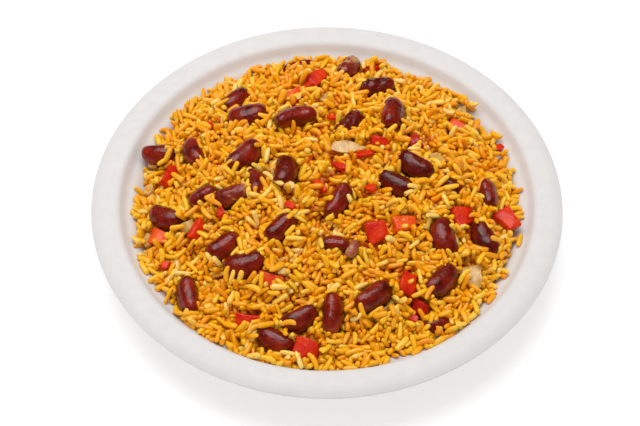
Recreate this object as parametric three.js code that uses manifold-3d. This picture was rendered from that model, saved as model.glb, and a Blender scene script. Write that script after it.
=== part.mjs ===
// Rice and beans on a plate: a round plate of moulded plant fibre with a flat rim, a turned-down lip and a
// stepped ledge inside it, filled with a mound of yellow rice. Red kidney beans, diced red pepper and pieces
// of onion lie in the mound's surface, each a solid of its own in a pocket of the rice.
// Millimetres, +Z up, origin at the centre of the plate's underside.
import * as THREE from "three";
import { mergeVertices } from "three/addons/utils/BufferGeometryUtils.js";
import Module from "manifold-3d";

const wasm = await Module();
wasm.setup();

// ---- the plate ----
const plateRadius = 115;
const lipHeight = 27.1; // the lip's lower edge
const rimOuterRadius = 111;
const rimInnerRadius = 101.5;
const rimHeight = 30;
const rimFall = 0.35; // the rim sinks this much from its inner to its outer edge
const ledgeOuterRadius = 98;
const ledgeInnerRadius = 94.3;
const ledgeOuterHeight = 25.4;
const ledgeInnerHeight = 23.8;
const floorRadius = 72;
const wallThickness = 2;
const sides = 36; // of the plate and the mound, so that their facets run side by side

// ---- the mound of rice ----
const gap = 0.3; // between a solid and what it rests on
const moundRise = 22; // from the edge of the rice to the middle of the mound
const moundFullness = 2.4; // a higher power gives a flatter top and a steeper edge
const edgeDrop = 1; // of the rice at the wall, below the ledge
const edgeDropSwing = 0.8; // added at the left and right, taken off at the front and back
const lumpHeight = 1.1;
const moundRings = 8;

// ---- the toppings ----
const beanWidth = 0.62; // shares of a bean's length
const beanThickness = 0.49;
const beanBend = 0.13;
const beanBluntness = 0.82; // under 1 fills out the ends
const pepperWall = 4.2;
const pepperCurl = 0.9; // how far the middle of a piece bows up
const onionWall = 2;
const onionCurl = 1.6;

// ---------------------------------------------------------------- shapes

// Moves each corner of an open outline sideways by a distance, square to the outline's own direction.
function offsetOutline(corners, distance) {
  return corners.map(([radius, height, rounding], i) => {
    const before = corners[Math.max(i - 1, 0)];
    const after = corners[Math.min(i + 1, corners.length - 1)];
    const here = new THREE.Vector2(radius, height);
    const arriving = here.clone().sub(new THREE.Vector2(before[0], before[1])).normalize();
    const leaving = new THREE.Vector2(after[0], after[1]).sub(here).normalize();
    const along = arriving.clone().add(leaving).normalize();
    const side = new THREE.Vector2(along.y, -along.x);
    const straight = arriving.lengthSq() && leaving.lengthSq() ? leaving : along;
    const mitre = distance / Math.max(side.dot(new THREE.Vector2(straight.y, -straight.x)), 0.5);
    return [radius + side.x * mitre, height + side.y * mitre, rounding];
  });
}

// The points of an open outline whose inner corners are rounded.
function roundedOutline(corners, steps) {
  const path = new THREE.Path();
  path.moveTo(corners[0][0], corners[0][1]);
  corners.slice(1, -1).forEach(([radius, height, rounding], i) => {
    const corner = new THREE.Vector2(radius, height);
    const [before, after] = [corners[i], corners[i + 2]].map(([r, z]) =>
      new THREE.Vector2(r, z).sub(corner).setLength(rounding).add(corner),
    );
    path.lineTo(before.x, before.y);
    if (rounding) path.quadraticCurveTo(corner.x, corner.y, after.x, after.y);
  });
  const last = corners[corners.length - 1];
  path.lineTo(last[0], last[1]);
  return path.getPoints(steps);
}

// A turned solid: the profile's x is the radius and its y the height.
function turned(profile) {
  return new THREE.LatheGeometry(profile, sides).rotateX(Math.PI / 2);
}

// Moves every point of a geometry by a function of that point.
function reshaped(geometry, move) {
  const position = geometry.getAttribute("position");
  const point = new THREE.Vector3();
  for (let i = 0; i < position.count; i++) {
    move(point.fromBufferAttribute(position, i));
    position.setXYZ(i, point.x, point.y, point.z);
  }
  return geometry;
}

// ---------------------------------------------------------------- the plate

// Corners of the eating side from the centre out: radius, height, rounding.
const eatingSide = [
  [0, wallThickness, 0],
  [floorRadius, wallThickness, 7],
  [ledgeInnerRadius, ledgeInnerHeight, 1.2],
  [ledgeOuterRadius, ledgeOuterHeight, 1.2],
  [rimInnerRadius, rimHeight, 1.4],
  [rimOuterRadius, rimHeight - rimFall, 1.6],
  [plateRadius, lipHeight, 0],
];

function plateGeometry() {
  const underside = offsetOutline(eatingSide, wallThickness).map(([r, z]) => [r, z, 0]);
  underside[0] = [0, 0, 0];
  underside[1][1] = 0;
  const profile = [
    ...roundedOutline(underside, 1),
    ...roundedOutline(eatingSide, 2).reverse(),
  ];
  return turned(profile);
}

// The radius of the well's wall at a height below the ledge.
function wallRadius(height) {
  const share = (height - wallThickness) / (ledgeInnerHeight - wallThickness);
  return floorRadius + share * (ledgeInnerRadius - floorRadius);
}

// ---------------------------------------------------------------- the mound

function edgeHeight(bearing) {
  return ledgeInnerHeight - edgeDrop - edgeDropSwing * Math.cos(2 * bearing);
}

function lumps(x, y) {
  const wide = Math.sin(x / 9 + 1.3) * Math.cos(y / 11 - 0.6);
  const narrow = Math.sin(x / 5.5 - y / 7 + 2) * Math.cos(x / 8 + y / 5 - 1);
  return lumpHeight * (wide + 0.7 * narrow);
}

// The height of the rice above a point of the plate.
function moundHeight(x, y) {
  const edge = edgeHeight(Math.atan2(y, x));
  const share = Math.min(Math.hypot(x, y) / wallRadius(edge), 1);
  const inside = 1 - share ** 6; // lumps die away at the wall
  const middle = edgeHeight(Math.PI / 4);
  const level = middle + (edge - middle) * share ** 4;
  return level + moundRise * (1 - share ** moundFullness) + lumps(x, y) * inside;
}

function moundNormal(x, y) {
  const step = 2;
  const slopeX = (moundHeight(x + step, y) - moundHeight(x - step, y)) / (2 * step);
  const slopeY = (moundHeight(x, y + step) - moundHeight(x, y - step)) / (2 * step);
  return new THREE.Vector3(-slopeX, -slopeY, 1).normalize();
}

function moundGeometry() {
  const bottom = wallThickness + gap;
  const slope = wallRadius(1) - wallRadius(0); // radius gained for each millimetre of height
  const clearance = gap * Math.hypot(1, slope);
  const profile = [new THREE.Vector2(0, bottom), new THREE.Vector2(floorRadius - 9, bottom)];
  profile.push(new THREE.Vector2(wallRadius(7) - clearance, 7));
  profile.push(new THREE.Vector2(wallRadius(14) - clearance, 14));
  for (let ring = 0; ring <= moundRings; ring++) profile.push(new THREE.Vector2(1 - ring / moundRings, 100));
  return reshaped(turned(profile), (point) => {
    if (point.z < 100) return;
    const bearing = Math.atan2(point.y, point.x);
    const edge = edgeHeight(bearing);
    const radius = Math.hypot(point.x, point.y) * (wallRadius(edge) - clearance);
    point.set(radius * Math.cos(bearing), radius * Math.sin(bearing), 0);
    point.z = moundHeight(point.x, point.y);
  });
}

// ---------------------------------------------------------------- the toppings

// A kidney bean along X, lying flat, its hollow side facing +Y. The margin grows it all round.
function beanGeometry({ length, margin = 0 }) {
  const half = new THREE.Vector3(length, length * beanWidth, length * beanThickness)
    .multiplyScalar(0.5)
    .addScalar(margin);
  const blunt = (share) => Math.sign(share) * Math.abs(share) ** beanBluntness;
  return reshaped(new THREE.SphereGeometry(1, 7, 6).rotateZ(Math.PI / 2), (point) => {
    const along = blunt(point.x);
    const middle = 1 - along * along;
    point.set(along * half.x, point.y * half.y, point.z * half.z);
    point.y += length * beanBend * (along * along - 0.35);
    if (point.y > 0) point.y *= 1 - 0.15 * middle;
  });
}

// A piece cut from a hollow vegetable's wall: four-sided, bowed, its far end narrower by a taper.
function sliceGeometry({ length, width, taper = 0.2, wall, curl, margin = 0 }) {
  const size = [length, width, wall].map((side) => side + 2 * margin);
  return reshaped(new THREE.BoxGeometry(...size, 2, 1, 1), (point) => {
    const along = point.x / (length / 2);
    point.y *= 1 - taper * along;
    point.x += taper * point.y * 0.5;
    point.z += curl * (0.5 - along * along);
  });
}

const pepperGeometry = (piece) => sliceGeometry({ wall: pepperWall, curl: pepperCurl, ...piece });
const onionGeometry = (piece) => sliceGeometry({ wall: onionWall, curl: onionCurl, ...piece });

// Where each bean lies: x, y, heading and roll in degrees, sink of its middle below the rice, length.
const beanPlaces = [
  [-14, 86.5, 18, 45, 1.2, 17],
  [11.5, 84, 62, 20, -1.9, 16],
  [25, 67, 18, 70, -0.7, 19],
  [-46, 61.5, 44, 40, 0.6, 18],
  [-39, 45.3, 4, 12, -1.3, 20],
  [-16, 40, 203, 35, -1.1, 21.5],
  [11, 35.5, 52, 50, 0.2, 19.5],
  [32.5, 43.8, 80, 25, -0.9, 20],
  [-82.5, 27.4, -6, 30, -4.2, 17],
  [-65.5, 25, -70, 15, -1.1, 17],
  [-40, 14.9, 50, 45, -1, 21.5],
  [-20, 4.5, 82, 20, -0.9, 19],
  [-34.5, 0.5, 102, 30, 1.1, 17.5],
  [-60, -5.5, 206, 20, -0.7, 15],
  [-46, -7.5, 14, 35, -0.9, 17],
  [-77.5, -12.5, -28, 0, -1.1, 19],
  [5.5, -14.5, 60, 55, -0.9, 19.5],
  [43, 10, -34, 30, -0.7, 20],
  [33, 0, -30, 55, 1, 20],
  [59, 3, -42, 40, 2, 18.5],
  [78.2, 1.8, 100, 35, -1.3, 17],
  [-22, -28, 46, 45, 0.2, 18],
  [-49, -35, 36, 30, -1, 18],
  [-39, -46, 10, 10, -1.3, 20.5],
  [3.5, -37, 174, 25, -0.4, 14],
  [12, -40.5, 62, 50, -0.8, 10],
  [55.5, -28.5, -76, 10, -1.1, 20.5],
  [75.5, -25, -58, 25, -0.9, 18.5],
  [-65.3, -57.8, -78, 60, -1.8, 21],
  [21.5, -63.5, 40, 50, -1, 21],
  [2.5, -72, 87, 60, -0.9, 20],
  [-13, -74, 24, 35, -0.5, 18.5],
  [-24.5, -83, -29, 25, -0.7, 18.5],
  [54, -52, 50, 25, -0.7, 20],
  [51, -72.5, 16, 20, -0.4, 13.5],
];

// Where each piece of pepper lies: x, y, heading, tilt about its length, sink, length, width.
const pepperPlaces = [
  [-5, 75, 50, 25, 0.4, 12, 7],
  [-16, 59.5, 45, 30, 0.4, 11, 7.5],
  [65.5, 45.5, -30, 20, 0.6, 12.5, 6.5],
  [43.5, 27, -60, 35, 0.6, 8.5, 6.5],
  [25.5, 23.5, -10, 30, 0.4, 9, 7],
  [-77, 14, 78, 45, 0.4, 12, 6.5],
  [-62, -23.5, 70, 50, 0.4, 10.5, 6.5],
  [-80.5, -22.5, -20, 10, 0.2, 10, 7.5],
  [23.5, -31, 26, 15, 0, 10, 9.5],
  [37, -25, 14, 10, 0.4, 11.5, 7.5],
  [65.5, -15, 22, 15, 0.2, 10.5, 9],
  [86.5, -12.8, -50, 10, -4.2, 12, 8.5],
  [-27, -55, -14, 20, 0.8, 12, 7.5],
  [-37.2, -73.4, -8, 30, 0.4, 12, 8],
  [-10, -87.8, -12, 15, -1.2, 12, 10],
  [38, -54.5, 78, 15, 0, 11, 8.5],
  [44, -65.5, -20, 35, 1, 8, 7],
];

// Where each piece of onion lies: x, y, heading, tilt about its length, sink, length, width.
const onionPlaces = [
  [10.5, 20, -4, 10, 0, 17, 6.5],
  [67.5, 56.5, -72, 30, -0.4, 9, 6.5],
  [55, 18, 36, 10, 0.2, 10, 7.5],
  [-66.5, -20, 35, 25, 0, 7.5, 5],
  [27, -69, 46, 45, 0, 13, 4],
  [69, -46.5, -68, 15, 0.2, 13, 9.5],
];

const up = new THREE.Vector3(0, 0, 1);

// Lays a piece on the mound at x, y: square to the slope, though flatter by the wall, where it rests on the
// ledge as well; turned to its heading and rolled about its length.
function layOnMound(piece, [x, y, heading, roll, sink]) {
  const nearWall = Math.min(Math.hypot(x, y) / ledgeInnerRadius, 1) ** 6;
  const normal = moundNormal(x, y).lerp(up, nearWall).normalize();
  piece.position.set(x, y, moundHeight(x, y)).addScaledVector(normal, -sink);
  piece.quaternion
    .setFromUnitVectors(up, normal)
    .multiply(new THREE.Quaternion().setFromAxisAngle(up, THREE.MathUtils.degToRad(heading)))
    .multiply(new THREE.Quaternion().setFromAxisAngle(new THREE.Vector3(1, 0, 0), THREE.MathUtils.degToRad(roll)));
  return piece;
}

// ---------------------------------------------------------------- cutting the pockets

function solidOf(geometry, matrix = new THREE.Matrix4()) {
  const bare = geometry.clone().applyMatrix4(matrix);
  bare.deleteAttribute("normal");
  bare.deleteAttribute("uv");
  const merged = mergeVertices(bare, 1e-3);
  return new wasm.Manifold(
    new wasm.Mesh({
      numProp: 3,
      vertProperties: merged.getAttribute("position").array,
      triVerts: new Uint32Array(merged.index.array),
    }),
  );
}

function geometryOf(solid) {
  const { vertProperties, triVerts } = solid.getMesh();
  const geometry = new THREE.BufferGeometry()
    .setAttribute("position", new THREE.BufferAttribute(vertProperties, 3))
    .setIndex(new THREE.BufferAttribute(triVerts, 1))
    .toNonIndexed();
  geometry.computeVertexNormals();
  return geometry;
}

// ---------------------------------------------------------------- assembly

const materials = {
  plate: new THREE.MeshStandardMaterial({ color: 0xe9e6e2, roughness: 0.75, metalness: 0 }),
  rice: new THREE.MeshStandardMaterial({ color: 0xe6a518, roughness: 0.45, metalness: 0 }),
  bean: new THREE.MeshStandardMaterial({ color: 0x5c1a17, roughness: 0.3, metalness: 0 }),
  pepper: new THREE.MeshStandardMaterial({ color: 0xc92a12, roughness: 0.3, metalness: 0 }),
  onion: new THREE.MeshStandardMaterial({ color: 0xdcbf6a, roughness: 0.35, metalness: 0 }),
};

const food = new THREE.Group();
let rice = solidOf(moundGeometry());

// Adds one kind of topping and cuts a pocket for each piece, a gap wider all round.
function addToppings(kind, places, sizeOf, geometryFor) {
  places.forEach((place, i) => {
    const size = sizeOf(place);
    const piece = layOnMound(new THREE.Mesh(geometryFor(size), materials[kind]), place);
    piece.name = `${kind}_${String(i + 1).padStart(2, "0")}`;
    piece.updateMatrix();
    rice = rice.subtract(solidOf(geometryFor({ ...size, margin: gap }), piece.matrix));
    food.add(piece);
  });
}

addToppings("bean", beanPlaces, (place) => ({ length: place[5] }), beanGeometry);
addToppings("pepper", pepperPlaces, (place) => ({ length: place[5], width: place[6] }), pepperGeometry);
addToppings("onion", onionPlaces, (place) => ({ length: place[5], width: place[6], taper: 0.35 }), onionGeometry);

// A thin rib of rice between two pockets can come loose: the mound is what holds together.
const mound = rice.decompose().reduce((most, body) => (body.volume() > most.volume() ? body : most));
const riceMesh = new THREE.Mesh(geometryOf(mound), materials.rice);
riceMesh.name = "rice_mound";
food.add(riceMesh);

const plate = new THREE.Mesh(plateGeometry(), materials.plate);
plate.name = "plate";

const riceAndBeans = new THREE.Group();
riceAndBeans.add(plate, food);

export default riceAndBeans;
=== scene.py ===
# %% [markdown]
# # A plate of rice and beans
#
# The object is one portion of yellow rice with kidney beans, red pepper and onion on a round plate pressed
# from plant fibre. The CAD model gives each piece its true size and place. This lesson builds the looks on
# it: the plate is turned from its profile, each topping is modelled in the space of its own solid, and the
# solid heap is exchanged for a smaller core with thousands of loose grains packed on it.

import math
from types import SimpleNamespace

import bmesh
import bpy
import numpy as np
from mathutils import Matrix, Vector, noise


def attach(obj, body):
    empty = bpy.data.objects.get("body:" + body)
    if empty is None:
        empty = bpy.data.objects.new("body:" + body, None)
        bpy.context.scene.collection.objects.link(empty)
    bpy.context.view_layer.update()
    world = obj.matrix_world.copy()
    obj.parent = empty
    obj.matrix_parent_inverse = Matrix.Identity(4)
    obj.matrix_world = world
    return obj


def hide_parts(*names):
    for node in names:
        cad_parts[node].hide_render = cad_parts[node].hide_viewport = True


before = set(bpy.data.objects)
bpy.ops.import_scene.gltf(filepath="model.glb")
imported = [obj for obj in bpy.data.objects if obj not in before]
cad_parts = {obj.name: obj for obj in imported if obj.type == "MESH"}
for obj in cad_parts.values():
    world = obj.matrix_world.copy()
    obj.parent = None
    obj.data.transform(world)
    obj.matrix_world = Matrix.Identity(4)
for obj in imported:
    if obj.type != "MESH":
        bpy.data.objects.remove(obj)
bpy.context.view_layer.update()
MM = 0.001

# %% [markdown]
# Every material is a small network of shader nodes. A helper that adds one node, sets it and links it keeps
# such networks readable. Colours are written the way a paint chart gives them, as sRGB hex values, and are
# turned to the linear values that a shader works with.

# %% Helpers for materials
def linear(hex_colour):
    channels = [int(hex_colour[i : i + 2], 16) / 255 for i in (1, 3, 5)]
    turned = [c / 12.92 if c <= 0.04045 else ((c + 0.055) / 1.055) ** 2.4 for c in channels]
    return (*turned, 1.0)


def add(tree, kind, settings=None, **inputs):
    """Adds a node, sets its properties, and sets or links its inputs, whose names are written with _."""
    node = tree.nodes.new(kind)
    for name, value in (settings or {}).items():
        setattr(node, name, value)
    for name, value in inputs.items():
        wanted = name.replace("_", " ")
        socket = node.inputs[int(name[1:])] if name[1:].isdigit() else node.inputs[wanted]
        if isinstance(value, bpy.types.NodeSocket):
            tree.links.new(value, socket)
        else:
            socket.default_value = value
    return node


def material(name):
    made = bpy.data.materials.new(name)
    made.use_nodes = True
    made.node_tree.nodes.clear()
    return made, made.node_tree


def finish_material(tree, shader):
    add(tree, "ShaderNodeOutputMaterial", Surface=shader.outputs[0])


def ramp(tree, fac, stops, settings=None):
    node = add(tree, "ShaderNodeValToRGB", settings, Fac=fac)
    elements = node.color_ramp.elements
    while len(elements) < len(stops):
        elements.new(0.5)
    for element, (place, colour) in zip(elements, stops):
        element.position = place
        element.color = linear(colour) if isinstance(colour, str) else (colour, colour, colour, 1)
    return node


print("white is", linear("#ffffff"))

# %% [markdown]
# A finished piece needs the same four things each time: an object at the origin, its material, the body that
# it rides on and the CAD nodes that it stands for.

# %% Helper for a finished piece
def place_piece(name, mesh, mat, nodes=()):
    mesh.name = name
    mesh.polygons.foreach_set("use_smooth", [True] * len(mesh.polygons))
    mesh.materials.clear()
    mesh.materials.append(mat)
    piece = bpy.data.objects.new(name, mesh)
    bpy.context.scene.collection.objects.link(piece)
    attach(piece, "root")
    if nodes:
        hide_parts(*nodes)
    return piece


def mesh_from(bm, name):
    mesh = bpy.data.meshes.new(name)
    bm.to_mesh(mesh)
    bm.free()
    return mesh


# %% [markdown]
# ## The plate
#
# Such a plate is pressed from wet pulp between two heated moulds. So its wall is equally thick everywhere,
# every corner is rounded, and the surface is matt with a faint clouding where the fibres lie thicker. A
# turned shape is best drawn as half a section and spun: the corners are laid as a chain of vertices, rounded
# with a vertex bevel, and spun round Z.

# %% The plate's section, in millimetres
WALL = 2.0
LIP_ROUNDING = 0.7
SECTION = [  # radius, height, rounding of each corner on the eating side, from the centre out
    (0, 2.0, 0),
    (72, 2.0, 8),
    (94.3, 23.8, 1.6),
    (98.0, 25.4, 1.5),
    (101.5, 30.0, 1.9),
    (111.0, 29.65, 2.6),
    (115.0, 27.1, 0),
]


def offset_section(section, distance):
    """The same chain of corners, moved square to itself to the underside."""
    moved = []
    for i, (radius, height, rounding) in enumerate(section):
        before = Vector(section[max(i - 1, 0)][:2])
        after = Vector(section[min(i + 1, len(section) - 1)][:2])
        here = Vector((radius, height))
        arriving = (here - before).normalized()
        leaving = (after - here).normalized()
        along = (arriving + leaving).normalized()
        side = Vector((along.y, -along.x))
        straight = leaving if arriving.length and leaving.length else along
        mitre = distance / max(side.dot(Vector((straight.y, -straight.x))), 0.5)
        moved.append((radius + side.x * mitre, height + side.y * mitre, rounding))
    return moved


under = offset_section(SECTION, WALL)
under[0] = (0, 0, 0)
under[1] = (under[1][0], 0, 8)
print("underside corners:", [(round(r, 1), round(z, 1)) for r, z, _ in under])


# %% Turn the plate
def turned_plate():
    bm = bmesh.new()
    eating_end = (SECTION[-1][0], SECTION[-1][1], LIP_ROUNDING)
    under_end = (under[-1][0], under[-1][1], LIP_ROUNDING)
    corners = SECTION[:-1] + [eating_end, under_end] + under[:-1][::-1]
    chain = [bm.verts.new((r * MM, 0, z * MM)) for r, z, _ in corners]
    for a, b in zip(chain, chain[1:]):
        bm.edges.new((a, b))
    for vert, (_, _, rounding) in zip(chain, corners):
        if rounding:
            bmesh.ops.bevel(
                bm,
                geom=[vert],
                offset=rounding * MM,
                affect="VERTICES",
                segments=6,
                profile=0.5,
                material=-1,
            )
    bmesh.ops.spin(
        bm,
        geom=bm.verts[:] + bm.edges[:],
        cent=(0, 0, 0),
        axis=(0, 0, 1),
        angle=math.tau,
        steps=160,
        use_merge=True,
    )
    bmesh.ops.remove_doubles(bm, verts=bm.verts[:], dist=1e-6)
    bmesh.ops.recalc_face_normals(bm, faces=bm.faces[:])
    return mesh_from(bm, "plate_shell")


plate_mesh = turned_plate()
print("plate faces:", len(plate_mesh.polygons))

# %% [markdown]
# The finish is uncoated moulded fibre: a dull off-white with a barely visible cloud of thicker and thinner
# pulp. The clouds are about 6 mm across. The felt of single fibres is finer than would show, so it is drawn
# 1.1 mm across.

# %% Moulded plant fibre
def moulded_fibre():
    mat, tree = material("moulded plant fibre")
    place = add(tree, "ShaderNodeTexCoord").outputs["Object"]
    cloud = add(tree, "ShaderNodeTexNoise", Vector=place, Scale=1 / 0.006, Detail=3.0)  # 6 mm clouds
    felt = add(tree, "ShaderNodeTexNoise", Vector=place, Scale=1 / 0.0011, Detail=4.0)  # 1.1 mm felt
    colour = ramp(tree, cloud.outputs["Fac"], [(0.3, "#d4d0ce"), (0.7, "#d9d5d3")])
    bump = add(tree, "ShaderNodeBump", Height=felt.outputs["Fac"], Strength=0.15, Distance=0.0002)
    shader = add(
        tree,
        "ShaderNodeBsdfPrincipled",
        Base_Color=colour.outputs["Color"],
        Roughness=0.62,
        IOR=1.5,
        Normal=bump.outputs["Normal"],
    )
    finish_material(tree, shader)
    return mat


place_piece("plate_shell", plate_mesh, moulded_fibre(), ["plate"])

# %% [markdown]
# ## The heap of rice
#
# The heap swells 22 mm over its edge and has low lumps. The same swell is wanted twice: the loose grains are
# packed up to it and the core lies about 9 mm under it.

# %% The heap's surface, in millimetres
RISE, FULLNESS, EDGE_DROP, EDGE_SWING, LUMP = 22, 2.4, 1.0, 0.8, 1.1
LEDGE_RADIUS, LEDGE_HEIGHT, FLOOR_RADIUS, FLOOR_HEIGHT = 94.3, 23.8, 72.0, 2.0


def edge_height(bearing):
    return LEDGE_HEIGHT - EDGE_DROP - EDGE_SWING * np.cos(2 * bearing)


def wall_radius(height):
    climbed = (height - FLOOR_HEIGHT) / (LEDGE_HEIGHT - FLOOR_HEIGHT)
    return FLOOR_RADIUS + climbed * (LEDGE_RADIUS - FLOOR_RADIUS)


def heap_height(x, y):
    edge = edge_height(np.arctan2(y, x))
    share = np.minimum(np.hypot(x, y) / wall_radius(edge), 1)
    middle = edge_height(math.pi / 4)
    level = middle + (edge - middle) * share**4
    wide = np.sin(x / 9 + 1.3) * np.cos(y / 11 - 0.6)
    narrow = np.sin(x / 5.5 - y / 7 + 2) * np.cos(x / 8 + y / 5 - 1)
    return level + RISE * (1 - share**FULLNESS) + LUMP * (wide + 0.7 * narrow) * (1 - share**6)


def clumps(x, y):
    """Clumps of grains that stick together, about 9 mm across and up to 4 mm high, lower at the edge."""
    first = np.sin(x / 2.9 + 1.8 * np.sin(y / 9)) * np.sin(y / 3.3 + 1.8 * np.sin(x / 8 + 1))
    second = np.sin(x / 6.1 - y / 4.7 + 0.7) * np.sin(x / 5.3 + y / 7.1)
    share = np.minimum(np.hypot(x, y) / LEDGE_RADIUS, 1)
    return (2.6 * first + 1.6 * second) * (1 - 0.85 * share**6) + 1.8 * share**12


print("heap at its middle:", round(float(heap_height(0.0, 0.0)), 1), "mm")

# %% [markdown]
# Each topping lies in a frame of its own: its length, width and thickness. The frame is found from the CAD
# solid itself, as the directions in which its corners spread most, next most and least. A bean's hollow side
# shows in the way its two ends lie to one side of its middle.

# %% Read the toppings' frames
def corners_of(node):
    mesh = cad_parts[node].data
    co = np.empty(len(mesh.vertices) * 3)
    mesh.vertices.foreach_get("co", co)
    return np.unique(np.round(co.reshape(-1, 3) / MM, 3), axis=0)


class Seat:
    """Where a topping lies, in millimetres.

    It has a middle, three square directions, half its size along them, and a heart, the mean of its corners.
    """

    def __init__(self, node):
        points = corners_of(node)
        self.node = node
        spread = points - points.mean(0)
        _, axes = np.linalg.eigh(spread.T @ spread)
        self.axes = axes[:, ::-1].T
        if self.axes[2, 2] < 0:
            self.axes[2] *= -1
        local = spread @ self.axes.T
        low, high = local.min(0), local.max(0)
        along = local[:, 0] / max(high[0], -low[0])
        lean = np.polyfit(along**2, local[:, 1], 1)[0]
        if lean < 0:
            self.axes[1] *= -1
            low[1], high[1] = -high[1], -low[1]
        self.axes[0] = np.cross(self.axes[1], self.axes[2])
        local = spread @ self.axes.T
        low, high = local.min(0), local.max(0)
        self.half = (high - low) / 2
        self.middle = points.mean(0) + (low + high) / 2 @ self.axes
        self.heart = points.mean(0)


names = sorted(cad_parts)
beans = [Seat(n) for n in names if n.startswith("bean_")]
peppers = [Seat(n) for n in names if n.startswith("pepper_")]
onions = [Seat(n) for n in names if n.startswith("onion_")]
print(len(beans), "beans,", len(peppers), "pieces of pepper,", len(onions), "of onion")

# %% [markdown]
# Between the cut pieces lie scraps too small for solids of their own. Each is a place, a heading, a length
# and a width on the heap's surface, where it lies flat on the slope.

# %% Places of the small scraps
def lying(x, y, heading, length, width, thickness=2.6, lift=1.0):
    """The frame of a flat thing on the heap's slope, in millimetres and degrees."""
    near = heap_height(np.array([x - 2, x]), np.array([y, y - 2]))
    far = heap_height(np.array([x + 2, x]), np.array([y, y + 2]))
    up = np.array([*(near - far) / 4, 1.0])
    up /= np.linalg.norm(up)
    turn = math.radians(heading)
    across = np.cross(up, (math.cos(turn), math.sin(turn), 0))
    across /= np.linalg.norm(across)
    middle = np.array([x, y, float(heap_height(x, y)) + lift])
    axes = np.stack([np.cross(across, up), across, up])
    half = np.array([length, width, thickness]) / 2
    return SimpleNamespace(node="scrap", middle=middle, heart=middle, axes=axes, half=half)


PEPPER_SCRAPS = [  # x, y, heading, length, width
    (-10, 66, 32, 7, 5),
    (23, 86, 32, 14, 4),
    (-58, 43, 86, 8, 6),
    (3, 41, 0, 8, 3),
    (17, 15, 16, 12, 4.5),
    (86, 37, 66, 8, 6),
    (-77, 26, 37, 7, 5),
    (6, 6, -12, 10, 4.5),
    (-3, -6, -52, 11, 4.5),
    (-18, -17, -47, 8, 6),
    (-51, -16, 63, 7, 5),
    (41, -72, 20, 6, 4),
    (-77, -39, 40, 6, 4),
    (21, -7, 10, 8, 6),
]
ONION_SCRAPS = [
    (-86, 24, -24, 8, 4),
    (-87, 8, 62, 7, 6),
    (-86, -22, 82, 10, 6),
    (-18, -5, -3, 9, 7),
    (-20, -52, -4, 8, 4),
    (61, -30, -82, 11, 4),
    (0, 56, 40, 9, 6),
]
pepper_scraps = [lying(*place) for place in PEPPER_SCRAPS]
onion_scraps = [lying(*place) for place in ONION_SCRAPS]
print("small scraps:", len(pepper_scraps), "of pepper,", len(onion_scraps), "of onion")

# %% [markdown]
# ### Packing the grains
#
# Real rice falls where there is room. The packing does the same with simple means: each grain is a row of
# four balls of 1.08 mm radius. They start at random in a shell over the core, and in small steps sink,
# push each other apart, slide off the beans and stay inside the plate, and only at the front a few spill onto
# its ledge. A full physics engine would take many minutes for as many bodies, while these steps in arrays
# take seconds.

# %% Find the balls that are close to each other
BALL = 1.08
BALLS = np.array([-3.0, -1.0, 1.0, 3.0])


def close_pairs(points, reach):
    """Index pairs of points less than reach apart, found by sorting the points into cubes."""
    cell = np.floor((points - points.min(0)) / reach).astype(np.int64) + 1
    size = cell.max(0) + 2
    key = (cell[:, 0] * size[1] + cell[:, 1]) * size[2] + cell[:, 2]
    order = np.argsort(key, kind="stable")
    keys = key[order]
    found = []
    for step in np.ndindex(3, 3, 3):
        dx, dy, dz = (s - 1 for s in step)
        jump = (dx * size[1] + dy) * size[2] + dz
        if jump < 0:
            continue
        low = np.searchsorted(keys, keys + jump, "left") if jump else np.arange(len(keys)) + 1
        high = np.searchsorted(keys, keys + jump, "right")
        count = np.maximum(high - low, 0)
        first = np.repeat(np.arange(len(keys)), count)
        second = np.arange(count.sum()) - np.repeat(np.cumsum(count) - count, count) + np.repeat(low, count)
        found.append(np.stack([order[first], order[second]]))
    a, b = np.concatenate(found, 1)
    apart = a // len(BALLS) != b // len(BALLS)
    a, b = a[apart], b[apart]
    near = ((points[a] - points[b]) ** 2).sum(1) < reach**2
    return a[near], b[near]


# %% Keep the balls off the plate, the core and the toppings
CORE_DEPTH = 9.5
LEDGE_SLOPE = 0.43
OVER_THE_EDGE = 23.2  # a ball higher than this may roll onto the ledge
SPILL_RADIUS, FRONT_SPILL = 95.3, 3.6
PRESSED = BALL * 0.9  # a grain may press a tenth of a ball into a topping


def spill(x, y):
    """How much further the rice spills onto the ledge: most at the front and not at all behind."""
    front = np.maximum(-y, 0) / np.maximum(np.hypot(x, y), 1)
    return FRONT_SPILL * front**2


def floor_push(points):
    """How far each ball has to move to lie on the core and inside the plate."""
    push = np.zeros_like(points)
    x, y, z = points.T
    radius = np.hypot(x, y)
    under_core = heap_height(x, y) + clumps(x, y) - CORE_DEPTH + BALL - z
    ledge = LEDGE_HEIGHT + LEDGE_SLOPE * (radius - LEDGE_RADIUS)
    under_ledge = np.where(radius > LEDGE_RADIUS, ledge + BALL - z, 0)
    push[:, 2] = np.maximum(np.maximum(under_core, under_ledge), 0)
    limit = wall_radius(np.minimum(z, LEDGE_HEIGHT)) - BALL
    limit = np.where(z > OVER_THE_EDGE, SPILL_RADIUS + spill(x, y), limit)
    over = np.maximum(radius - limit, 0)
    push[:, :2] -= points[:, :2] / np.maximum(radius, 1)[:, None] * over[:, None]
    return push


def bean_push(points, seat):
    """Pushes balls out of a bean, taken as an ellipsoid."""
    local = (points - seat.middle) @ seat.axes.T
    half = seat.half + PRESSED
    depth = np.linalg.norm(local / half, axis=1)
    inside = depth < 1
    push = np.zeros_like(points)
    away = local[inside] * (1 / np.maximum(depth[inside], 0.2) - 1)[:, None]
    push[inside] = away @ seat.axes
    return push


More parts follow.
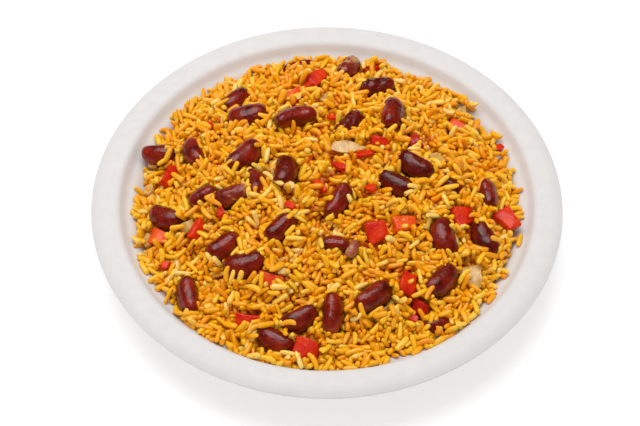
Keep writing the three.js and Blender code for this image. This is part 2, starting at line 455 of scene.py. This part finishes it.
def slice_push(points, seat):
    """Pushes balls out of a cut piece, taken as a block, through its nearest face."""
    local = (points - seat.middle) @ seat.axes.T
    depth = seat.half + PRESSED - np.abs(local)
    inside = (depth > 0).all(1)
    nearest = depth.argmin(1)
    push = np.zeros_like(points)
    rows = np.nonzero(inside)[0]
    side = np.sign(local[rows, nearest[rows]])
    push[rows] = seat.axes[nearest[rows]] * (side * depth[rows, nearest[rows]])[:, None]
    return push


# %% Pack the grains
HIDDEN = "bean_01"  # grains lie all over this bean, at the back
GRAINS = 7500
STEPS, SINKING_STEPS, SINK = 130, 80, 0.06  # the grains sink 0.06 mm in each of the first steps
START_RADIUS, START_SHELL = 94.5, 3
FRESH_EVERY, MARGIN = 5, 0.9  # the list of close pairs is made anew every few steps, with room to move
rng = np.random.default_rng(7)


def start_grains(count):
    share = rng.random(count) ** 0.47
    bearing = rng.random(count) * math.tau
    radius = (START_RADIUS + spill(np.cos(bearing), np.sin(bearing))) * share
    middle = np.stack([radius * np.cos(bearing), radius * np.sin(bearing), np.zeros(count)], 1)
    lift = BALL + rng.random(count) * (CORE_DEPTH + START_SHELL)
    x, y, _ = middle.T
    middle[:, 2] = heap_height(x, y) + clumps(x, y) - CORE_DEPTH + lift
    along = rng.normal(size=(count, 3))
    along /= np.linalg.norm(along, axis=1)[:, None]
    return middle, along, rng.uniform(0.72, 1.04, count)


def pack_grains(middle, along, length):
    """Pushes the grains apart, and off everything else, until they lie like poured rice."""
    count = len(middle)
    balls = count * len(BALLS)
    for step in range(STEPS):
        reach = BALLS * length[:, None]
        points = (middle[:, None] + along[:, None] * reach[:, :, None]).reshape(-1, 3)
        if step % FRESH_EVERY == 0:
            a, b = close_pairs(points, 2 * BALL + MARGIN)
        gap = points[a] - points[b]
        apart = np.linalg.norm(gap, axis=1) + 1e-9
        touch = apart < 2 * BALL
        i, j = a[touch], b[touch]
        half = gap[touch] / apart[touch, None] * ((2 * BALL - apart[touch]) / 2)[:, None]
        pushes = [np.bincount(i, half[:, k], balls) - np.bincount(j, half[:, k], balls) for k in range(3)]
        total = np.stack(pushes, 1)
        hits = np.bincount(i, minlength=balls) + np.bincount(j, minlength=balls)
        total /= np.maximum(hits, 1)[:, None] ** 0.6
        total += floor_push(points)
        for seat in beans:
            if seat.node == HIDDEN:
                continue
            near = np.abs(points - seat.middle).max(1) < seat.half[0] + 3
            total[near] += bean_push(points[near], seat)
        for seat in peppers + onions + pepper_scraps + onion_scraps:
            near = np.abs(points - seat.middle).max(1) < seat.half[0] + 4
            total[near] += slice_push(points[near], seat)
        total = total.reshape(count, len(BALLS), 3)
        middle = middle + total.mean(1)
        if step < SINKING_STEPS:
            middle[:, 2] -= SINK
        turn = (total * reach[:, :, None]).sum(1) / (reach**2).sum(1)[:, None]
        along = along + turn
        along /= np.linalg.norm(along, axis=1)[:, None]
    return middle, along


middle, along, length = start_grains(GRAINS)
middle, along = pack_grains(middle, along, length)
height = middle[:, 2] - heap_height(middle[:, 0], middle[:, 1])
print("grain middles over the heap's surface, mm:", np.percentile(height, [5, 50, 95]).round(1))


# %% Clear the grains that ended up on top of a topping
def covers(middle, seat, share):
    """Grains over a topping: above its middle, inside that share of its outline as seen from above."""
    bulge = seat.axes.T @ np.diag(1 / seat.half**2) @ seat.axes
    outline = bulge[:2, :2] - np.outer(bulge[:2, 2], bulge[2, :2]) / bulge[2, 2]
    beside = middle[:, :2] - seat.middle[:2]
    over = middle[:, 2] > seat.middle[2]
    return over & (((beside @ outline) * beside).sum(1) < share**2)


CLEAR = 0.98
BURIED = {  # the share of the outline that is cleared where it differs: less lets grains lie over the edge
    "scrap": 0.95,
    HIDDEN: 0.0,
    "bean_20": 0.3,
    "bean_19": 0.6,
    "bean_35": 0.85,
    "bean_25": 1.3,
    "bean_26": 1.1,
    "bean_13": 0.9,
    "bean_09": 0.5,
    "bean_07": 0.85,
    "bean_08": 1.1,
    "bean_06": 1.05,
    "bean_31": 1.05,
    "bean_11": 0.95,
    "bean_04": 0.7,
    "pepper_13": 0.6,
    "onion_03": 0.5,
    "onion_06": 0.9,
    "pepper_14": 1.0,
}
keep = np.ones(len(middle), bool)
for seat in beans + peppers + onions + pepper_scraps + onion_scraps:
    keep &= ~covers(middle, seat, BURIED.get(seat.node, CLEAR))
middle, along, length = middle[keep], along[keep], length[keep]
print("grains kept:", len(middle))

# %% Lay a few stray grains over the toppings
STRAYS = [  # x, y, heading
    (-17, 85, 30),
    (-13, 84, -40),
    (-19, 87, 80),
    (-10, 85, 10),
    (-15, 82, 60),
    (-78, 24, 60),
    (-79, 28, 10),
    (-76, 30, -40),
    (-45, 51, 20),
    (-36, 53, -30),
    (-74, -9, 100),
    (-17, -23, 60),
    (-12, -21, 20),
    (7, 30, -20),
    (28, 6, 40),
    (41, -3, 10),
    (-30, -3, -60),
    (-28, 3, -50),
    (62, 6, -20),
    (56, -2, 30),
    (50, -19, 50),
    (16, -59, 30),
    (-8, -68, 60),
    (-18, -78, -10),
    (68, -33, -50),
    (-17, 57, 30),
    (69, 43, 20),
    (-33, 20, 50),
]


def top_of(x, y):
    """The height of whatever lies highest at a place: the heap or a bean, taken as an ellipsoid."""
    height = float(heap_height(x, y))
    for seat in beans:
        bend = seat.axes.T @ np.diag(1 / seat.half**2) @ seat.axes
        dx, dy = x - seat.middle[0], y - seat.middle[1]
        b = bend[2, 0] * dx + bend[2, 1] * dy
        c = bend[0, 0] * dx * dx + 2 * bend[0, 1] * dx * dy + bend[1, 1] * dy * dy - 1
        inside = b * b - bend[2, 2] * c
        if inside > 0:
            height = max(height, seat.middle[2] + (-b + math.sqrt(inside)) / bend[2, 2])
    return height


REST_HEIGHT, STRAY_LENGTH, FEEL = 1.0, 0.9, 2.5  # the slope is felt 2.5 mm to each side
for x, y, heading in STRAYS:
    turn = math.radians(heading)
    ahead = np.array([math.cos(turn), math.sin(turn)]) * FEEL
    rise = top_of(x + ahead[0], y + ahead[1]) - top_of(x - ahead[0], y - ahead[1])
    direction = np.array([*ahead * 2, rise])
    middle = np.vstack([middle, [x, y, top_of(x, y) + REST_HEIGHT]])
    along = np.vstack([along, direction / np.linalg.norm(direction)])
    length = np.append(length, STRAY_LENGTH)
print("stray grains:", len(STRAYS))

# %% [markdown]
# ### The grains
#
# A cooked long grain is a slender spindle, blunter at one end, a little bent, with a shallow groove along it.
# There are six kinds: slim, plump, bent, hooked, burst open at one end, and broken. Twelve shapes of each
# kind, turned and stretched at random, are enough. Each is a small ball of 8 by 7 faces that is drawn out,
# because thousands of copies have to stay light.

# %% Shape one grain
HALF_LENGTH, HALF_WIDTH, HALF_THICKNESS = 4.5, 1.4, 1.24


def grain_shape(seed, kind):
    draw = np.random.default_rng(seed)
    bm = bmesh.new()
    bmesh.ops.create_uvsphere(bm, u_segments=8, v_segments=7, radius=1.0)
    bmesh.ops.rotate(bm, cent=(0, 0, 0), matrix=Matrix.Rotation(math.pi / 2, 3, "Y"), verts=bm.verts[:])
    bend = draw.uniform(0.05, 0.4) + {"bent": 0.6, "hooked": 1.1}.get(kind, 0)
    fullness = {"slim": 0.92, "plump": 1.12}.get(kind, 1)
    lean = draw.uniform(-0.06, 0.06)
    taper = draw.uniform(0.05, 0.2)
    for vert in bm.verts:
        x, y, z = vert.co
        ring = math.hypot(y, z)
        blunt = ring**0.65 / ring if ring > 1e-6 else 0  # powers under 1 make the ball's ends fuller
        along_grain = math.copysign(abs(x) ** 0.72, x)
        width = blunt * (1 - taper * along_grain - 0.06 * math.cos(along_grain * 5))
        y, z = y * width * fullness * HALF_WIDTH, z * width * fullness * HALF_THICKNESS
        if z > 0:  # the groove
            z *= 1 - 0.14 * math.exp(-((y / 0.5) ** 2))
        if kind == "burst" and along_grain < -0.3:  # the two halves of one end spread
            y += math.copysign((-0.3 - along_grain) * 0.8, y) * (abs(y) > 0.2)
        if kind == "broken":  # one end is cut off at a slant
            along_grain = max(along_grain, -0.2 + 0.1 * y)
        vert.co = (
            along_grain * HALF_LENGTH,
            y + bend * (along_grain**2 - 0.4),
            z + lean * along_grain * HALF_LENGTH + draw.uniform(-0.05, 0.05),
        )
    bmesh.ops.recalc_face_normals(bm, faces=bm.faces[:])
    bm.verts.index_update()
    points = np.array([v.co for v in bm.verts])
    faces = [[v.index for v in f.verts] for f in bm.faces]
    bm.free()
    return points, faces


points, faces = grain_shape(1, "slim")
print("a grain has", len(faces), "faces and is", (points.max(0) - points.min(0)).round(1), "mm")


# %% Copy the grains into one mesh of each kind
SHAPES, FIRST_SEED = 12, 50


def scatter_grains(name, kind, chosen, mat):
    shapes = [grain_shape(FIRST_SEED + s, kind) for s in range(SHAPES)]
    verts, faces, tones, depths, local = [], [], [], [], []
    start = 0
    for i in chosen:
        points, polys = shapes[rng.integers(len(shapes))]
        x_axis = along[i] if rng.random() < 0.5 else -along[i]
        side = np.cross(x_axis, rng.normal(size=3))
        side /= np.linalg.norm(side)
        basis = np.stack([x_axis, side, np.cross(x_axis, side)])
        size = np.array([length[i], *rng.uniform(0.9, 1.08, 2)])
        placed = (points * size) @ basis + middle[i]
        verts.append(placed)
        x, y, z = placed.T
        # how deep each corner lies under the heap's surface, from which the rice material draws painted shade
        depths.append(heap_height(x, y) + clumps(x, y) - z)
        faces.extend([[v + start for v in f] for f in polys])
        tones.append(np.full(len(points), rng.random()))
        local.append(points + rng.uniform(-50, 50, 3))
        start += len(points)
    mesh = bpy.data.meshes.new(name)
    mesh.from_pydata(np.concatenate(verts) * MM, [], faces)
    mesh.attributes.new("tone", "FLOAT", "POINT").data.foreach_set("value", np.concatenate(tones))
    mesh.attributes.new("depth", "FLOAT", "POINT").data.foreach_set("value", np.concatenate(depths))
    mesh.attributes.new("grain_place", "FLOAT_VECTOR", "POINT").data.foreach_set(
        "vector", np.concatenate(local).ravel()
    )
    print(name, len(chosen), "grains,", sum(len(p.vertices) - 2 for p in mesh.polygons), "triangles")
    return place_piece(name, mesh, mat)


# %% [markdown]
# Parboiled rice cooked in oil with turmeric or annatto is translucent: light goes in, spreads a millimetre or
# so and comes out golden, and a thin film of oil gives each grain a soft highlight. Grains take up the colour
# unevenly, so each has a tone of its own, from amber to pale gold.

# %% Cooked yellow rice
def yellow_rice():
    mat, tree = material("cooked yellow rice")
    tone = add(tree, "ShaderNodeAttribute", {"attribute_name": "tone"}).outputs["Fac"]
    place = add(tree, "ShaderNodeAttribute", {"attribute_name": "grain_place"}).outputs["Vector"]
    depth = add(tree, "ShaderNodeAttribute", {"attribute_name": "depth"}).outputs["Fac"]
    # streaks along the grain, 0.6 mm apart: the pattern is drawn out four times along X, the grain's length
    drawn_out = add(tree, "ShaderNodeMapping", Vector=place, Scale=(0.25, 1.0, 1.0))
    streak = add(tree, "ShaderNodeTexNoise", Vector=drawn_out.outputs[0], Scale=1.6, Detail=3.0)
    both = add(
        tree, "ShaderNodeMath", {"operation": "MULTIPLY_ADD"}, _0=streak.outputs["Fac"], _1=0.6, _2=tone
    )
    fac = add(tree, "ShaderNodeMath", {"operation": "SUBTRACT"}, _0=both.outputs[0], _1=0.3)
    colour = ramp(
        tree,
        fac.outputs[0],
        [(0.0, "#f09a03"), (0.4, "#f7ad07"), (0.75, "#fbbd17"), (0.95, "#ffca4a"), (1.0, "#ffd682")],
    )
    # painted shade between the grains: deeper under the heap's surface a grain is drawn darker and redder,
    # from 1 mm down to the full at 5.5 mm
    painted_shade = add(tree, "ShaderNodeMapRange", Value=depth, From_Min=1.0, From_Max=5.5, To_Min=0.0, To_Max=1.0)
    mixed = add(
        tree,
        "ShaderNodeMix",
        {"data_type": "RGBA"},
        _0=painted_shade.outputs[0],
        _6=colour.outputs["Color"],
        _7=linear("#e27006"),
    )
    bump = add(tree, "ShaderNodeBump", Height=streak.outputs["Fac"], Strength=0.5, Distance=0.0002)
    shader = add(
        tree,
        "ShaderNodeBsdfPrincipled",
        Base_Color=mixed.outputs[2],
        Roughness=0.35,
        IOR=1.45,
        Subsurface_Weight=0.5,
        Subsurface_Radius=(1.0, 0.45, 0.08),
        Subsurface_Scale=0.0018,
        Coat_Weight=0.3,
        Coat_Roughness=0.14,
        Normal=bump.outputs["Normal"],
    )
    finish_material(tree, shader)
    return mat


rice_material = yellow_rice()
KINDS = {"slim": 0.19, "plump": 0.19, "bent": 0.2, "hooked": 0.15, "burst": 0.14, "broken": 0.13}
kinds = rng.choice(list(KINDS), len(middle), p=list(KINDS.values()))
for kind in KINDS:
    scatter_grains(f"rice_{kind}", kind, np.nonzero(kinds == kind)[0], rice_material)

# %% [markdown]
# The core under the loose grains is hardly seen, only as the dark ground of the gaps; it is painted a deeper
# orange than the grains, as shade in the gaps. It is a disc of rings lifted to the heap's swell and roughened
# with relief as fine as rice.

# %% The core
def rice_core():
    bm = bmesh.new()
    base = 2.3
    laid = 0.1  # metres: the rings of the top are laid flat at this height and then set to the heap's swell
    rim = float(wall_radius(16.0)) - 0.4
    waist = float(wall_radius(7.0)) - 0.4
    below = ((0, base), (FLOOR_RADIUS - 9, base), (waist, 7.0), (rim, 16.0))
    chain = [bm.verts.new((radius * MM, 0, height * MM)) for radius, height in below]
    rings = 60
    for ring in range(1, rings + 1):
        chain.append(bm.verts.new((rim * (1 - ring / rings) * MM, 0, laid)))
    for a, b in zip(chain, chain[1:]):
        bm.edges.new((a, b))
    bmesh.ops.spin(
        bm,
        geom=bm.verts[:] + bm.edges[:],
        cent=(0, 0, 0),
        axis=(0, 0, 1),
        angle=math.tau,
        steps=180,
        use_merge=True,
    )
    bmesh.ops.remove_doubles(bm, verts=bm.verts[:], dist=1e-6)
    for vert in bm.verts:
        if vert.co.z > laid / 2:
            x, y = vert.co.x / MM, vert.co.y / MM
            relief = noise.fractal(Vector((x, y, 0)) / 3.0, 1.0, 2.0, 2) * 1.4
            vert.co.z = (float(heap_height(x, y)) - CORE_DEPTH + 0.8 + relief) * MM
    bmesh.ops.recalc_face_normals(bm, faces=bm.faces[:])
    return mesh_from(bm, "rice_core")


def core_rice():
    mat, tree = material("rice core with painted shade")
    place = add(tree, "ShaderNodeTexCoord").outputs["Object"]
    spots = add(tree, "ShaderNodeTexNoise", Vector=place, Scale=1 / 0.004, Detail=3.0)  # 4 mm spots
    # a deeper orange than the grains: painted shade for the ground of the gaps
    colour = ramp(tree, spots.outputs["Fac"], [(0.3, "#b45c06"), (0.7, "#d67e0c")])
    shader = add(tree, "ShaderNodeBsdfPrincipled", Base_Color=colour.outputs["Color"], Roughness=0.6)
    finish_material(tree, shader)
    return mat


core = place_piece("rice_core", rice_core(), core_rice(), ["rice_mound"])
print("core faces:", len(core.data.polygons))

# %% [markdown]
# ## The kidney beans
#
# A cooked kidney bean is a bent, slightly flattened sausage with one hollow side, a tight glossy skin, and
# shallow creases where the skin has slackened. Each starts from a ball in its own frame, is drawn out to the
# bean's length, width and thickness, bent towards its hollow side and then creased.

# %% Shape a bean
BEAN_WIDTH, BEAN_THICKNESS = 0.63, 0.5  # shares of the length
BEND = 0.13
SLACK = 0.35  # how deeply most skins are creased
WRINKLED = {
    "bean_02": 1.0,
    "bean_03": 1.2,
    "bean_07": 0.9,
    "bean_15": 1.0,
    "bean_17": 0.9,
    "bean_18": 0.9,
    "bean_20": 1.0,
}
KIDNEY = {"bean_06": 2.4, "bean_12": 1.4, "bean_16": 1.6, "bean_27": 1.6}  # times the usual bend


def bean_mesh(seat, seed):
    bm = bmesh.new()
    bmesh.ops.create_uvsphere(bm, u_segments=28, v_segments=20, radius=1.0)
    bmesh.ops.rotate(bm, cent=(0, 0, 0), matrix=Matrix.Rotation(math.pi / 2, 3, "Y"), verts=bm.verts[:])
    size = Vector((1, BEAN_WIDTH, BEAN_THICKNESS)) * float(seat.half[0])
    bend = KIDNEY.get(seat.node, 1.0) * seat.half[0] * BEND
    slack = WRINKLED.get(seat.node, SLACK)
    offset = Vector((seed * 3.7, seed * 1.9, seed * 5.1))
    axes = Matrix([list(a) for a in seat.axes]).transposed()
    for vert in bm.verts:
        x, y, z = vert.co
        direction = vert.co.normalized()
        along_bean = math.copysign(abs(x) ** 0.8, x)
        ring = math.hypot(y, z)
        fuller = ring**0.85 / ring if ring > 1e-6 else 0
        y, z = y * fuller, z * fuller
        middle_share = 1 - along_bean**2
        y *= 1 - 0.08 * middle_share * (y > 0)
        lump = noise.noise(direction * 1.3 + offset) * 0.05
        crease = abs(noise.noise(Vector((direction.x * 1.8, direction.y * 6, direction.z * 6)) + offset))
        swell = 1 + lump - slack * 0.2 * max(0.25 - crease, 0) / 0.25
        local = Vector(
            (
                along_bean * size.x * (1 + lump * 0.3),
                y * size.y * swell + bend * (along_bean**2 - 0.35),
                z * size.z * swell,
            )
        )
        vert.co = (axes @ local + Vector(seat.heart)) * MM
    bmesh.ops.recalc_face_normals(bm, faces=bm.faces[:])
    return mesh_from(bm, seat.node + "_skin")


# %% [markdown]
# The skin of a cooked red kidney bean is a deep red-brown film over a pale body. It is glossy because it is
# wet with oil, slightly mottled, and paler and tan where it has thinned or split.

# %% Bean skin
def bean_skin(name, dark, light, tan_share):
    mat, tree = material(name)
    place = add(tree, "ShaderNodeTexCoord").outputs["Object"]
    # 7 mm blotches, and 2.4 mm puckers of the skin
    blotch = add(tree, "ShaderNodeTexNoise", Vector=place, Scale=1 / 0.007, Detail=4.0, Roughness=0.6)
    fine = add(tree, "ShaderNodeTexNoise", Vector=place, Scale=1 / 0.0024, Detail=4.0)
    base = ramp(tree, blotch.outputs["Fac"], [(0.3, dark), (0.7, light)])
    tan = ramp(tree, blotch.outputs["Fac"], [(0.62 - tan_share, 0.0), (0.72 - tan_share, 1.0)])
    mixed = add(
        tree,
        "ShaderNodeMix",
        {"data_type": "RGBA"},
        _0=tan.outputs["Color"],
        _6=base.outputs["Color"],
        _7=linear("#b98a5c") if tan_share else linear(light),
    )
    bump = add(tree, "ShaderNodeBump", Height=fine.outputs["Fac"], Strength=0.8, Distance=0.0009)
    shader = add(
        tree,
        "ShaderNodeBsdfPrincipled",
        Base_Color=mixed.outputs[2],
        Roughness=0.24,
        IOR=1.4,
        Coat_Weight=0.4,
        Coat_Roughness=0.1,
        Normal=bump.outputs["Normal"],
    )
    finish_material(tree, shader)
    return mat


plain_skin = bean_skin("red kidney bean skin", "#4e0400", "#942006", 0.0)
dark_skin = bean_skin("dark red kidney bean skin", "#3c0300", "#7c1804", 0.0)
DARK = {"bean_03", "bean_07", "bean_12", "bean_18", "bean_19", "bean_20", "bean_28"}
thin_skin = bean_skin("thinned kidney bean skin", "#5c120a", "#a03418", 0.08)
split_skin = bean_skin("split kidney bean flesh", "#8e3c2c", "#b06852", 0.12)
for number, seat in enumerate(beans):
    skin = dark_skin if seat.node in DARK else plain_skin
    if seat.node in ("bean_02", "bean_15"):
        skin = thin_skin
    if seat.node == "bean_26":
        skin = split_skin
    place_piece(seat.node + "_skin", bean_mesh(seat, number), skin, [seat.node])
print("beans made:", len(beans))

# %% [markdown]
# ## The cut vegetables
#
# The pepper and onion pieces are knife-cut, then softened in the pan. Their CAD solids already have the true
# outline, so each piece starts from a merged copy of its solid, gets its edges rounded with a bevel, is
# subdivided and slightly crumpled.

# %% Soften a cut piece
def soften(bm, rounding, crumple, seed):
    """Rounds the cut edges and crumples the faces a little."""
    sharp = [e for e in bm.edges if e.is_manifold and e.calc_face_angle(0) > math.radians(40)]
    bmesh.ops.bevel(
        bm,
        geom=sharp,
        offset=rounding * MM,
        affect="EDGES",
        segments=3,
        profile=0.5,
        material=-1,
        clamp_overlap=True,
    )
    bmesh.ops.triangulate(bm, faces=bm.faces[:])
    bmesh.ops.subdivide_edges(bm, edges=bm.edges[:], cuts=2, use_grid_fill=True)
    offset = Vector((seed * 2.3, seed * 4.1, seed * 1.7))
    bm.normal_update()
    moved = []
    for vert in bm.verts:
        wave = noise.noise_vector(vert.co / MM / 4.5 + offset) * crumple * 1.6
        fine = noise.noise(vert.co / MM / 1.5 + offset) * crumple * 0.3
        moved.append(vert.co + (wave + vert.normal * fine) * MM)
    for vert, co in zip(bm.verts, moved):
        vert.co = co
    for _ in range(3):
        bmesh.ops.smooth_vert(
            bm,
            verts=bm.verts[:],
            factor=0.4,
            use_axis_x=True,
            use_axis_y=True,
            use_axis_z=True,
        )


# %% Shape the cut pieces and the scraps
def cut_piece_mesh(seat, rounding, crumple, seed, leaf=0.0):
    bm = bmesh.new()
    bm.from_mesh(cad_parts[seat.node].data)
    bmesh.ops.remove_doubles(bm, verts=bm.verts[:], dist=2e-5)
    bmesh.ops.dissolve_limit(bm, angle_limit=math.radians(2), verts=bm.verts[:], edges=bm.edges[:])
    soften(bm, rounding, crumple, seed)
    for vert in bm.verts:  # a flake of onion runs out to a point at both ends
        local = seat.axes @ (np.array(vert.co) / MM - seat.middle)
        local[1] *= 1 - leaf * min(abs(local[0]) / seat.half[0], 1) ** 1.6
        local[2] *= 1 - 0.5 * leaf
        vert.co = (seat.middle + local @ seat.axes) * MM
    return mesh_from(bm, seat.node + "_flesh")


def scrap_mesh(name, seats, crumple):
    """Scraps of one kind as one joined mesh: six-sided slices with uneven corners, then softened."""
    bm = bmesh.new()
    for seat in seats:
        made = bmesh.ops.create_cone(bm, cap_ends=True, segments=6, radius1=1.0, radius2=1.0, depth=2.0)
        uneven = rng.uniform(0.65, 1.1, 6)
        for vert in made["verts"]:
            corner = round(math.atan2(vert.co.y, vert.co.x) / math.tau * 6) % 6
            local = np.array(vert.co) * seat.half * (uneven[corner], uneven[corner], 1)
            vert.co = (seat.middle + local @ seat.axes) * MM
    soften(bm, 0.5, crumple, len(seats))
    return mesh_from(bm, name)


# %% [markdown]
# Cooked pepper is a wet, tight skin on soft flesh: it mirrors the lamp sharply, and a little red light comes
# back out of it. Its tone runs from orange-red to dark red from piece to piece.

# %% Cooked red pepper
def red_pepper(name, dark, light):
    mat, tree = material(name)
    place = add(tree, "ShaderNodeTexCoord").outputs["Object"]
    # 6 mm blotches, and 1.4 mm dimples
    blotch = add(tree, "ShaderNodeTexNoise", Vector=place, Scale=1 / 0.006, Detail=3.0)
    fine = add(tree, "ShaderNodeTexNoise", Vector=place, Scale=1 / 0.0014, Detail=3.0)
    colour = ramp(tree, blotch.outputs["Fac"], [(0.35, dark), (0.65, light)])
    bump = add(tree, "ShaderNodeBump", Height=fine.outputs["Fac"], Strength=0.7, Distance=0.0008)
    shader = add(
        tree,
        "ShaderNodeBsdfPrincipled",
        Base_Color=colour.outputs["Color"],
        Roughness=0.28,
        IOR=1.34,
        Subsurface_Weight=0.12,
        Subsurface_Radius=(1.0, 0.15, 0.08),
        Subsurface_Scale=0.002,
        Coat_Weight=0.28,
        Coat_Roughness=0.07,
        Normal=bump.outputs["Normal"],
    )
    finish_material(tree, shader)
    return mat


bright_pepper = red_pepper("cooked red pepper", "#c61600", "#de3600")
deep_pepper = red_pepper("cooked dark red pepper", "#a00a02", "#c01a06")
orange_pepper = red_pepper("cooked orange-red pepper", "#de3c06", "#f06418")
PEPPER_FINISH = {
    "pepper_02": orange_pepper,
    "pepper_03": orange_pepper,
    "pepper_04": deep_pepper,
    "pepper_08": orange_pepper,
    "pepper_10": orange_pepper,
    "pepper_13": orange_pepper,
    "pepper_17": deep_pepper,
}
for number, seat in enumerate(peppers):
    mesh = cut_piece_mesh(seat, 1.1, 0.65, number + 11)
    flesh = PEPPER_FINISH.get(seat.node, bright_pepper)
    place_piece(seat.node + "_flesh", mesh, flesh, [seat.node])
place_piece("pepper_scraps", scrap_mesh("pepper_scraps", pepper_scraps, 0.7), bright_pepper)
print("pieces of pepper made:", len(peppers), "and", len(pepper_scraps), "scraps")


# %% [markdown]
# Onion that was fried with the rice is translucent and has taken on its yellow. Its fibres show as pale and
# dark streaks about 2 mm apart.

# %% Cooked onion
def cooked_onion():
    mat, tree = material("cooked onion")
    place = add(tree, "ShaderNodeTexCoord").outputs["Object"]
    drawn_out = add(tree, "ShaderNodeMapping", Vector=place, Scale=(1.0, 0.4, 0.7))
    streak = add(
        tree, "ShaderNodeTexNoise", Vector=drawn_out.outputs[0], Scale=1 / 0.002, Detail=4.0, Distortion=0.8
    )
    colour = ramp(tree, streak.outputs["Fac"], [(0.3, "#b98a3a"), (0.72, "#e8c078")])
    bump = add(tree, "ShaderNodeBump", Height=streak.outputs["Fac"], Strength=0.4, Distance=0.0003)
    shader = add(
        tree,
        "ShaderNodeBsdfPrincipled",
        Base_Color=colour.outputs["Color"],
        Roughness=0.3,
        IOR=1.42,
        Subsurface_Weight=0.5,
        Subsurface_Radius=(1.0, 0.7, 0.3),
        Subsurface_Scale=0.002,
        Coat_Weight=0.5,
        Coat_Roughness=0.12,
        Normal=bump.outputs["Normal"],
    )
    finish_material(tree, shader)
    return mat


onion_material = cooked_onion()
for number, seat in enumerate(onions):
    mesh = cut_piece_mesh(seat, 0.5, 0.4, number + 41, leaf=0.75 if seat.node == "onion_01" else 0.45)
    place_piece(seat.node + "_flesh", mesh, onion_material, [seat.node])
place_piece("onion_scraps", scrap_mesh("onion_scraps", onion_scraps, 0.5), onion_material)
print("pieces of onion made:", len(onions), "and", len(onion_scraps), "scraps")

# %% [markdown]
# ## Floor, light and camera
#
# The floor is a sheet of white acrylic that is lit from below, so that it stays white and takes only a faint
# shadow. White light comes from all round, with one large soft lamp over the back left, as food is usually
# lit. The camera stands a little over a metre off with a long lens and looks down at 52 degrees.

# %% Floor
def white_floor():
    bm = bmesh.new()
    bmesh.ops.create_grid(bm, x_segments=1, y_segments=1, size=6.0)
    mesh = mesh_from(bm, "floor")
    mat, tree = material("white acrylic lit from below")
    shader = add(
        tree,
        "ShaderNodeBsdfPrincipled",
        Base_Color=(0.75, 0.75, 0.75, 1),
        Roughness=0.9,
        Emission_Color=(1, 1, 1, 1),
        Emission_Strength=0.36,
    )
    finish_material(tree, shader)
    mesh.materials.append(mat)
    floor = bpy.data.objects.new("floor", mesh)
    floor.location.z = -0.0002
    bpy.context.scene.collection.objects.link(floor)
    return floor


white_floor()


# %% Lights
def area_light(name, place, target, size, power):
    lamp = bpy.data.lights.new(name, "AREA")
    lamp.shape = "DISK"
    lamp.size = size
    lamp.energy = power
    shown = bpy.data.objects.new(name, lamp)
    shown.location = place
    shown.rotation_euler = (Vector(target) - Vector(place)).to_track_quat("-Z", "Y").to_euler()
    bpy.context.scene.collection.objects.link(shown)
    return shown


area_light("soft_lamp", (-0.15, 0.3, 1.35), (0, 0, 0.02), 1.2, 12.4)
world = bpy.data.worlds.new("studio")
world.use_nodes = True
world.node_tree.nodes["Background"].inputs["Color"].default_value = (1, 1, 1, 1)
world.node_tree.nodes["Background"].inputs["Strength"].default_value = 0.68
world.cycles_visibility.glossy = False  # so that wet skins mirror the lamp and not an all-round glow
bpy.context.scene.world = world
bpy.context.scene.view_settings.view_transform = "Standard"

# %% Camera
ELEVATION = math.radians(52.1)
DISTANCE = 1.150
AIM = Vector((-0.00336, -0.0063, 0.026))
camera_data = bpy.data.cameras.new("camera")
camera_data.lens = 133.1
camera_data.sensor_width = 36
camera_data.clip_start = 0.01
camera = bpy.data.objects.new("camera", camera_data)
toward_camera = Vector((0, -math.cos(ELEVATION), math.sin(ELEVATION)))
camera.location = AIM + DISTANCE * toward_camera
camera.rotation_euler = (-toward_camera).to_track_quat("-Z", "Y").to_euler()
bpy.context.scene.collection.objects.link(camera)
bpy.context.scene.camera = camera
